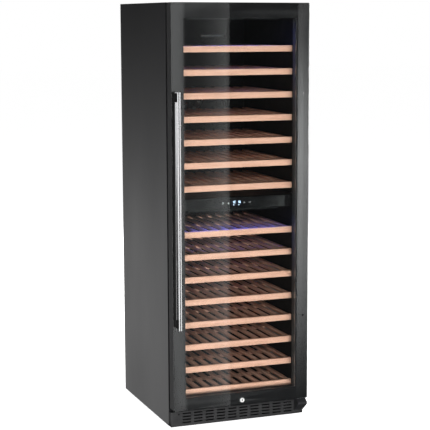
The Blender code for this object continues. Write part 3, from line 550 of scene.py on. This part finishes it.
def stage_mesh(name, bm, material):
    """Turns a mesh into a part of the studio."""
    mesh = bpy.data.meshes.new(name)
    bm.to_mesh(mesh)
    bm.free()
    mesh.materials.append(material)
    thing = bpy.data.objects.new(name, mesh)
    bpy.context.collection.objects.link(thing)
    return thing


def only_reflected(thing):
    """Leaves a card visible to reflections alone."""
    thing.visible_camera = False
    thing.visible_diffuse = False
    thing.visible_transmission = False
    thing.visible_shadow = False


def mirrored_card(name, low, high, material):
    """Upright or level card that is seen only in reflections; low and high are its corners."""
    card = bmesh.new()
    bmesh.ops.create_grid(card, x_segments=1, y_segments=1, size=0.5)
    thing = stage_mesh(name, card, material)
    low, high = Vector(low), Vector(high)
    size = high - low
    thing.location = (low + high) / 2
    if size.x == 0.0:
        thing.rotation_euler = (0.0, HALF_TURN / 2, 0.0)
        thing.scale = (size.z, size.y, 1.0)
    elif size.z == 0.0:
        thing.scale = (size.x, size.y, 1.0)
    else:
        thing.rotation_euler = (HALF_TURN / 2, 0.0, 0.0)
        thing.scale = (size.x, size.z, 1.0)
    only_reflected(thing)
    return thing


def make_backdrop():
    """White floor and dome, seen directly but not in reflections."""
    floor = bmesh.new()
    bmesh.ops.create_grid(floor, x_segments=1, y_segments=1, size=40.0)
    pale = surface("pale_floor", (0.86, 0.86, 0.86), (0.88, 0.88, 0.88), (0.8, 0.9),
                   grain=(0.5, 0.5, 0.5), bump=0.0)
    shader = pale.node_tree.nodes["Principled BSDF"]
    shader.inputs["Emission Color"].default_value = (*WHITE, 1.0)
    shader.inputs["Emission Strength"].default_value = 0.97
    ground = stage_mesh("floor", floor, pale)
    dome = bmesh.new()
    bmesh.ops.create_uvsphere(dome, u_segments=32, v_segments=16, radius=60.0)
    backdrop = stage_mesh("backdrop", dome, emitter("backdrop_white", WHITE, 1.0))
    for thing in (ground, backdrop):
        thing.visible_glossy = False
        thing.visible_diffuse = False
    backdrop.visible_transmission = False
    backdrop.visible_shadow = False


def make_cards():
    """Cards mirrored by the pane, the handle, the right border, the cabinet's side and the handle's facet."""
    grey = graded_emitter("reflector_grey", "X", REFLECTOR_GREYS)
    mirrored_card("reflector", (CARD_EDGE - 1.3, CARD_Y, -0.9), (CARD_EDGE, CARD_Y, 3.5), grey)
    white = emitter("handle_card_white", WHITE, 2.0)
    mirrored_card("handle_card", (-2.2, CARD_Y - 0.2, -2.6), (-0.4, CARD_Y - 0.2, 3.2), white)
    strip = graded_emitter("right_card_white", "Y", RIGHT_GREYS)
    mirrored_card("right_card", (1.425, CARD_Y, -0.9), (1.75, CARD_Y, 1.9), strip)
    low = graded_emitter("side_card_grey", "Y", SIDE_GREYS)
    mirrored_card("side_card", (-30.0, -0.2, 0.002), (-0.30, 60.0, 0.002), low)
    left = emitter("facet_card_white", WHITE, 1.3)
    mirrored_card("facet_card", (-3.0, -2.4, 0.75), (-3.0, -0.5, 2.6), left)


def make_light():
    """Faint even light, with boxes in front, above, to the right and behind."""
    world = bpy.data.worlds.new("studio")
    bpy.context.scene.world = world
    world.use_nodes = True
    background = world.node_tree.nodes["Background"]
    background.inputs["Color"].default_value = (*WHITE, 1.0)
    background.inputs["Strength"].default_value = 0.03
    softbox("key", (-2.6, -5.2, 1.25), (0.0, 0.0, 0.80), (2.0, 2.6), 190.0, mirrored=False)
    softbox("fill", (0.6, -6.6, 0.55), (0.0, 0.0, 0.55), (2.4, 2.2), 320.0, mirrored=False)
    softbox("low_fill", (-0.5, -4.2, 0.30), (0.0, 0.0, 0.12), (2.0, 0.5), 165.0, mirrored=False)
    softbox("top", (0.0, -1.0, 4.4), (0.0, 0.2, 1.0), (3.0, 3.0), 60.0, mirrored=False)
    softbox("right", (4.6, 0.9, 1.9), (0.3, 0.1, 0.9), (2.4, 2.4), 150.0)
    softbox("back", (1.5, 4.5, 2.4), (0.0, 0.3, 0.9), (2.4, 2.4), 130.0)
    view = bpy.context.scene.view_settings
    view.view_transform = "Standard"
    view.look = "None"


# ---------------------------------------------------------------- shelves

def make_shelf(number):
    """Front board with soft edges, slats on three battens, and steel slide beams."""
    name = f"shelf_{number:02d}"
    body = "sliding_" + name
    low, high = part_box(name)
    board_back = low.y + BOARD_THICK
    half = high.x - SHELF_INSET
    top = high.z - SHELF_INSET
    under_slats = top - SLAT_THICK
    board = bmesh.new()
    add_block(board, low, (high.x, board_back, high.z), bevel=0.0022, segments=3)
    front = add_piece(name + "_board", board, BOARD_WOOD, body, sharp=50)
    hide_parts(name)
    slats = bmesh.new()
    pitch = (2 * half - SLAT_WIDTH) / (SLATS - 1)
    for i in range(SLATS):
        left = -half + i * pitch
        add_block(slats, (left, board_back + 0.0002, under_slats), (left + SLAT_WIDTH, high.y, top), 0.002)
    # the slats take the beech that is darkened as painted shade
    rack = add_piece(name + "_slats", slats, SLAT_WOOD_PAINTED_SHADE, body, sharp=50)
    battens = bmesh.new()
    for y in (board_back + 0.0005, high.y - 0.030, (low.y + high.y) / 2):
        add_block(battens, (-half + 0.014, y, under_slats - BATTEN_THICK),
                  (half - 0.014, y + BATTEN_DEPTH, under_slats + GAP), 0.0015)
    cross = add_piece(name + "_battens", battens, BOARD_WOOD, body, sharp=50)
    beams = bmesh.new()
    for side in (-1, 1):
        left, right = sorted((side * (half - 0.001), side * (half - 0.013)))
        add_block(beams, (left, board_back + 0.0005, low.z + 0.0002),
                  (right, high.y - 0.001, under_slats - 0.0001), 0.0008)
    slides = add_piece(name + "_slides", beams, ZINC, body)


# ---------------------------------------------------------------- door

def make_door_ring():
    """Moulded ring behind the pane, grooved on its outside and cut for the hinge pins and the lock."""
    front, back = PANE_BACK + GAP, DOOR[1].y
    reach = DOOR[1].x - OPENING_HALF
    groove = front + 0.62 * (back - front)
    profile = ((-0.0004, front), (0.0, front + 0.0006), (0.0, groove - 0.0012), (-0.0012, groove - 0.0008),
               (-0.0012, groove + 0.0008), (0.0, groove + 0.0012), (0.0, back - 0.0016), (-0.0016, back),
               (-reach + 0.0010, back), (-reach, back - 0.0010), (-reach, front))
    outline = bmesh.new()
    add_border(outline, profile, DOOR[1].x, DOOR[0].z, DOOR[1].z, radius=0.005, steps=6)
    ring = add_piece("door_ring", outline, TRIM, "door", sharp=30)
    pins = []
    for low, high in ((DOOR[0].z - 0.01, DOOR[0].z + 0.014), (DOOR[1].z - 0.020, DOOR[1].z + 0.01)):
        pin = bmesh.new()
        add_turned(pin, ((PIN_HOLE_RADIUS, low), (PIN_HOLE_RADIUS, high)), (HINGE[0], HINGE[1], 0.0), Z, 32)
        pins.append(pin)
    notch = bmesh.new()
    add_block(notch, (HINGE[0] - 0.011, HINGE[1] - 0.018, DOOR[1].z - 0.006),
              (DOOR[1].x + 0.01, back + 0.01, DOOR[1].z + 0.01))
    bore = bmesh.new()
    bore_profile = ((LOCK_BORE_RADIUS, front - 0.01), (LOCK_BORE_RADIUS, back + 0.01))
    add_turned(bore, bore_profile, (0.0, 0.0, LOCK_Z), Y, 32)
    cut(ring, [*pins, notch, bore])
    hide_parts("door_frame")


def make_print():
    """Printed border behind the front pane, open at the window and at the lock."""
    wide = PANE[1].x - 0.0006
    window = (PANE[1].x - PANE[0].x) / 2 - WINDOW_SIDE
    turns = [2 * HALF_TURN * i / 24 for i in range(24)]
    radius = PRINT_HOLE_RADIUS
    lock_hole = [(radius * math.cos(turn), LOCK_Z + radius * math.sin(turn)) for turn in turns]
    outlines = [rectangle(-wide, DOOR[0].z + 0.0006, wide, DOOR[1].z - 0.0006),
                rectangle(-window, WINDOW_BOTTOM, window - PRINT_SHIFT, WINDOW_TOP), lock_hole]
    place = Matrix.Translation((0.0, PANE_BACK + 0.00014, 0.0)) @ UPRIGHT
    ink = flat_outline("printed_border", outlines, 0.00012, 0.00001, PRINT, "door", place)


def make_spacer():
    """Dark bar round the gap between the two panes."""
    near, far = PANE_BACK + GAP, INNER[0].y - GAP
    profile = ((0.0, near), (0.0015, near), (0.0015, far), (0.0, far))
    border = bmesh.new()
    half, low, high = INNER[1].x - 0.0014, INNER[0].z + 0.0014, INNER[1].z - 0.0014
    add_border(border, profile, half, low, high, radius=0.002, steps=3)
    bar = add_piece("glazing_spacer", border, SPACER, "door")


def make_seal():
    """Rubber seal: a flattened round section with three soft ribs."""
    front, back = SEAL[0].y, SEAL[1].y
    steps = 14
    profile = []
    for i in range(steps):
        turn = 2 * HALF_TURN * i / steps
        ripple = 1.0 + 0.10 * math.cos(3 * turn)
        across = -SEAL_WIDTH / 2 + 0.855 * SEAL_WIDTH / 2 * ripple * math.cos(turn)
        bulge = max(-1.0, min(1.0, 1.25 * math.sin(turn)))
        profile.append((across, (front + back) / 2 + (back - front) / 2 * 0.99 * bulge))
    border = bmesh.new()
    add_border(border, profile, (SEAL[1].x - SEAL[0].x) / 2, SEAL[0].z, SEAL[1].z, radius=0.014, steps=8)
    gasket = add_piece("door_seal", border, RUBBER, "door", sharp=60)
    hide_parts("door_gasket")


def make_handle():
    """Brushed bar: slanted left facet, two raised bands with dark grooves, notched for the end blocks."""
    left, right = BAR[0].x, BAR[1].x
    front, back = BAR[0].y, BAR[1].y
    low, high = BAR[0].z, BAR[1].z
    facet = left + FACET_WIDTH
    section = [(left, back), (left, front + FACET_DEPTH + 0.0006), (left + 0.0004, front + FACET_DEPTH),
               (facet - 0.0009, front + 0.0016), (facet, front + 0.0020)]
    edges = (facet, (facet + right) / 2, right)
    for start, end in zip(edges, edges[1:]):
        start += GROOVE_HALF
        for step in range(9):
            share = step / 8
            dip = 0.0008 * (2 * share - 1) ** 2
            section.append((start + share * (end - GROOVE_HALF - start), front + dip + 0.0001))
        if end != right:
            section.append((end, front + 0.0018))
    section += [(right, front + 0.0014), (right, back)]
    bm = bmesh.new()
    face = bm.faces.new([bm.verts.new((x, y, low)) for x, y in section])
    swept = bmesh.ops.extrude_face_region(bm, geom=[face])
    raised = [v for v in swept["geom"] if isinstance(v, bmesh.types.BMVert)]
    bmesh.ops.translate(bm, vec=(0, 0, high - low), verts=raised)
    bar = add_piece("handle_bar_brushed", bm, STEEL, "door", sharp=40)
    tools = bmesh.new()
    for start in (low + BLOCK_LIFT, high - END_PLATE - BLOCK_HEIGHT):
        add_block(tools, (left - 0.002, front - 0.002, start),
                  (facet + GAP, back + 0.002, start + BLOCK_HEIGHT))
    cut(bar, [tools])
    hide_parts("handle_bar")


def make_caps():
    """Small plugs in the unused handle holes on the hinge side."""
    profile = ((0.0044, PANE_FRONT - 0.0002), (0.0043, PANE_FRONT - 0.0008), (0.0034, PANE_FRONT - 0.0014),
               (0.0012, PANE_FRONT - 0.0017))
    for name, z, material, slot in (("upper_hole_cap", BAR[1].z - 0.0147, CHROME, "chrome"),
                                    ("lower_hole_cap", BAR[0].z + 0.0126, MOULDED, "black_plastic")):
        bm = bmesh.new()
        add_turned(bm, profile, (PANE[1].x - CAP_INSET, 0.0, z), Y, 32)
        add_piece(name, bm, material, "door")


def make_lock():
    """Bright rim, recessed face with a keyway, barrel and cam."""
    centre = Vector((0.0, 0.0, LOCK_Z))
    front = LOCK[0].y
    face = front + LOCK_RECESS
    cam_front = LOCK[1].y - CAM_THICK
    rim = bmesh.new()
    rim_profile = ((0.0075, face + 0.0006), (0.0078, front + 0.0003), (0.0084, front),
                   (0.0093, front + 0.0003), (0.0099, front + 0.0012), (0.0100, PANE_FRONT - GAP))
    add_turned(rim, rim_profile, centre, Y, 64)
    ring = add_piece("lock_rim", rim, NICKEL, "lock")
    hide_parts("lock_barrel")
    wide, tall = KEYWAY_HALF
    way = bmesh.new()
    add_block(way, (-wide, face - 0.0001, LOCK_Z - tall), (wide, face + 0.0008, LOCK_Z + tall), 0.0003)
    slit = add_piece("lock_keyway", way, RUBBER, "lock")
    rest = bmesh.new()
    rest_profile = ((0.0072, face), (0.0074, face + 0.0004), (0.0074, face + 0.0010), (0.0058, face + 0.0014),
                    (0.0058, cam_front))
    add_turned(rest, rest_profile, centre, Y, 48)
    add_block(rest, (-CAM_HALF, cam_front, LOCK_Z - CAM_HALF),
              (LOCK[1].x, LOCK[1].y, LOCK_Z + CAM_HALF), 0.0008)
    plug = add_piece("lock_plug_and_cam", rest, NICKEL, "lock")


# ---------------------------------------------------------------- controls

def add_digit(bm, character, left, low, y):
    """Seven-segment numeral whose strokes stand apart a little."""
    right, high, middle = left + DIGIT_SIZE[0], low + DIGIT_SIZE[1], low + DIGIT_SIZE[1] / 2
    stroke, apart = DIGIT_STROKE, 0.00012
    bars = {"a": (left, high - stroke, right, high), "b": (right - stroke, middle, right, high),
            "c": (right - stroke, low, right, middle), "d": (left, low, right, low + stroke),
            "e": (left, low, left + stroke, middle), "f": (left, middle, left + stroke, high),
            "g": (left, middle - stroke / 2, right, middle + stroke / 2)}
    for segment in SEGMENTS[character]:
        x0, z0, x1, z1 = bars[segment]
        add_block(bm, (x0 + apart, y, z0 + apart), (x1 - apart, y + INK_THICK, z1 - apart))


def make_displays():
    """Tinted lens with a pair of digits for each zone and a mark under each pair."""
    dress("display_window", LENS_TINT)
    y = LENS[0].y - 0.00025
    middle = (LENS[0].z + LENS[1].z) / 2
    marks = bmesh.new()
    for name, number, centre in ZONES:
        bm = bmesh.new()
        for place, character in enumerate(number):
            add_digit(bm, character, centre - 0.0078 + place * DIGIT_PITCH, middle - 0.0008, y)
        digits = add_piece(name, bm, DIGIT, "cabinet", smooth=False)
        add_block(marks, (centre - 0.0014, y, middle - 0.0088),
                  (centre + 0.0014, y + INK_THICK, middle - 0.0068))
    dots = add_piece("zone_marks", marks, DIGIT, "cabinet", smooth=False)


def add_flat(bm, outline, y, thick=0.00015):
    """Adds a thin plate from its outline in x and z."""
    face = bm.faces.new([bm.verts.new((x, y, z)) for x, z in outline])
    swept = bmesh.ops.extrude_face_region(bm, geom=[face])
    moved = [v for v in swept["geom"] if isinstance(v, bmesh.types.BMVert)]
    bmesh.ops.translate(bm, vec=(0, thick, 0), verts=moved)


def add_arc(bm, centre, radius, end, width, y, steps=18):
    """Adds a flat ring, or the first part of one; end is its share of a whole turn."""
    turns = [2 * HALF_TURN * end * step / steps for step in range(steps + 1)]
    inner, outer = ([(centre[0] + r * math.cos(turn), centre[1] + r * math.sin(turn)) for turn in turns]
                    for r in (radius - width / 2, radius + width / 2))
    if end < 1.0:
        add_flat(bm, outer + inner[::-1], y)
        return
    for i in range(steps):
        add_flat(bm, (outer[i], outer[i + 1], inner[i + 1], inner[i]), y)


def add_ray(bm, centre, turn, near, far, y):
    """Adds a short stroke that points away from a centre."""
    along = (math.cos(turn), math.sin(turn))
    across = (-along[1] * 0.0003, along[0] * 0.0003)
    outline = [(centre[0] + along[0] * r + across[0] * s, centre[1] + along[1] * r + across[1] * s)
               for r, s in ((near, -1), (far, -1), (far, 1), (near, 1))]
    add_flat(bm, outline, y)


def add_lamp_symbol(bm, x, z, y):
    """Ring with eight rays."""
    add_arc(bm, (x, z), 0.0030, 1.0, 0.0009, y)
    for ray in range(8):
        add_ray(bm, (x, z), HALF_TURN * ray / 4, 0.0040, 0.0052, y)


def add_padlock_symbol(bm, x, z, y):
    """Body with a half ring over it."""
    add_flat(bm, rectangle(x - 0.0028, z - 0.0038, x + 0.0028, z + 0.0004), y)
    add_arc(bm, (x, z + 0.0006), 0.0020, 0.5, 0.0008, y)


def add_arrow_symbol(bm, x, z, y, way):
    """Chevron that points up where way is 1 and down where it is -1."""
    half = 0.0040
    add_flat(bm, ((x - half, z - way * 0.0016), (x, z + way * 0.0030), (x + half, z - way * 0.0016),
                  (x + half, z - way * 0.0032), (x, z + way * 0.0014), (x - half, z - way * 0.0032)), y)


def make_keys():
    """Each key carries a plain symbol: a lamp with rays, a padlock, and up and down arrows."""
    for name in ("light", "lock", "up", "down"):
        dress(name + "_key", GLOSS)
        low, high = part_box(name + "_key")
        place = ((low.x + high.x) / 2, (low.z + high.z) / 2, low.y - 0.0002)
        bm = bmesh.new()
        if name == "light":
            add_lamp_symbol(bm, *place)
        elif name == "lock":
            add_padlock_symbol(bm, *place)
        else:
            add_arrow_symbol(bm, *place, way=1 if name == "up" else -1)
        symbol = add_piece(name + "_symbol", bm, ICON, name + "_button", smooth=False)


# ---------------------------------------------------------------- kick plate, screws, lamps

def make_kick_plate():
    """Grille with round-ended slots, its returns, and the lock's keeper tab."""
    half, front, back = KICK[1].x, KICK[0].y, KICK[1].y
    low, high = KICK[0].z, KICK_TOP
    slots = []
    for column in range(SLOT_COLUMNS):
        x = (column - (SLOT_COLUMNS - 1) / 2) * SLOT_PITCH[0]
        for row in range(SLOT_ROWS):
            slots.append(stadium(x, LOWEST_SLOT + row * SLOT_PITCH[1], *SLOT_SIZE))
    place = Matrix.Translation((0.0, front + SHEET / 2, 0.0)) @ UPRIGHT
    outlines = [rectangle(-half, low, half, high), *slots]
    plate = flat_outline("kick_grille", outlines, SHEET, 0.0004, GRILLE, "cabinet", place)
    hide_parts("kick_plate")
    returns = bmesh.new()
    start = front + SHEET - 0.0004
    add_block(returns, (-half, start, high - SHEET), (half, back, high), 0.0004)
    for left in (-half, half - SHEET):
        add_block(returns, (left, start, low), (left + SHEET, back, high - GAP), 0.0004)
    add_block(returns, (-KEEPER_HALF, KEEPER_FRONT, high - 0.001),
              (KEEPER_HALF, KEEPER_FRONT + SHEET, KICK[1].z), 0.0005)
    edges = add_piece("kick_plate_returns", returns, GRILLE, "cabinet")


def screw(bm, centre, radius, height, axis, sign):
    """Pan head with a round recess, standing on a face whose outward side is axis * sign."""
    middle = Vector(centre)
    base = middle[axis]
    middle[axis] = 0.0
    profile = ((radius, base), (radius, base + sign * height * 0.45), (radius * 0.72, base + sign * height),
               (radius * 0.22, base + sign * height), (radius * 0.12, base + sign * height * 0.55))
    add_turned(bm, profile, middle, axis, 20)


def make_screws():
    """Rows on the back panel, two on the bottom hinge, and one screw and one plug on the kick plate."""
    back = bmesh.new()
    face = BACK_SHEET[1].y - 0.0012
    for x in (-0.27, 0.27):
        for row in range(BACK_SCREW_ROWS):
            screw(back, (x, face, 0.06 + row * 0.205), 0.0038, 0.0011, Y, 1)
    rear = add_piece("back_panel_screws", back, ZINC, "cabinet")
    hinge = bmesh.new()
    for x in (HINGE_SCREW_X - 0.012, HINGE_SCREW_X + 0.012):
        screw(hinge, (x, CABINET_FRONT - 0.0036, 0.0965), 0.0032, 0.0018, Y, -1)
    small = add_piece("hinge_screws", hinge, CHROME, "cabinet")
    front = bmesh.new()
    screw(front, (0.230, KICK[0].y + 0.0002, 0.067), 0.0030, 0.0014, Y, -1)
    single = add_piece("kick_plate_screw", front, CHROME, "cabinet")
    hole = bmesh.new()
    profile = ((0.0034, KICK[0].y + 0.0004), (0.0034, KICK[0].y - 0.0002), (0.0030, KICK[0].y - 0.0003))
    add_turned(hole, profile, (-0.262, 0.0, 0.063), Y, 24)
    plug = add_piece("kick_plate_plug", hole, RUBBER, "cabinet")


def make_lamps():
    """Lamp strips whose front lip hides the lamps, so that only their glow is seen."""
    for zone in ("upper", "lower"):
        low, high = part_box(zone + "_led_bar")
        middle = (low.y + high.y) / 2
        case = bmesh.new()
        add_block(case, (low.x, low.y, high.z - 0.0030), high, 0.0006)
        add_block(case, low, (high.x, low.y + 0.0022, high.z - 0.0004), 0.0006)
        housing = add_piece(zone + "_lamp_housing", case, MOULDED, "cabinet")
        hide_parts(zone + "_led_bar")
        lens = bmesh.new()
        for i in range(LAMPS):
            x = low.x + 0.02 + (high.x - low.x - 0.04) * i / (LAMPS - 1)
            add_block(lens, (x - 0.0040, low.y + 0.004, high.z - 0.0062),
                      (x + 0.0040, high.y - 0.002, high.z - 0.0031), 0.0008)
        dots = add_piece(zone + "_lamps", lens, LAMP, "cabinet")
        softbox(zone + "_glow", (0.0, middle, low.z - 0.003), (0.0, middle + 0.05, low.z - 0.5),
                (0.38, 0.012), GLOW[zone], GLOW_BLUE, mirrored=False)


def dress_frame():
    """Materials of the solids that are shown as they come from the frame."""
    looks = {
        ENAMEL: ("side_panel_left", "side_panel_right", "top_panel", "top_hinge", "bottom_hinge"),
        # liners, ducts and runners: black plastic, darkened further as painted shade
        LINER_BLACK_AND_SHADE: ("upper_liner", "lower_liner", "upper_air_duct", "lower_air_duct",
                "upper_left_runners", "upper_right_runners", "lower_left_runners", "lower_right_runners"),
        MOULDED: ("condenser_fan_shroud", "condenser_fan_rotor", "upper_fan_rotor", "lower_fan_rotor",
                  "power_inlet", "door_frame", "front_left_foot", "front_right_foot", "rear_left_foot",
                  "rear_right_foot"),
        # base_tray: black steel, made near-black also as painted shade behind the kick plate's slots
        MATTE: ("handle_bracket", "base_tray"),
        GLOSS: ("control_fascia",),
        ZINC: ("back_panel",),
        FOAM: ("insulation_foam",),
        ALUMINIUM: ("upper_evaporator", "lower_evaporator"),
        POT: ("compressor",),
        COPPER: ("condenser_coil",),
        FRONT_GLASS: ("outer_glass",),
        REAR_GLASS: ("inner_glass",),
    }
    for material, names in looks.items():
        for name in names:
            dress(name, material)


make_camera()
make_backdrop()
make_cards()
make_light()
dress_frame()
for shelf in range(1, SHELVES + 1):
    make_shelf(shelf)
make_door_ring()
make_print()
make_spacer()
make_seal()
make_handle()
make_caps()
make_lock()
make_displays()
make_keys()
make_kick_plate()
make_screws()
make_lamps()
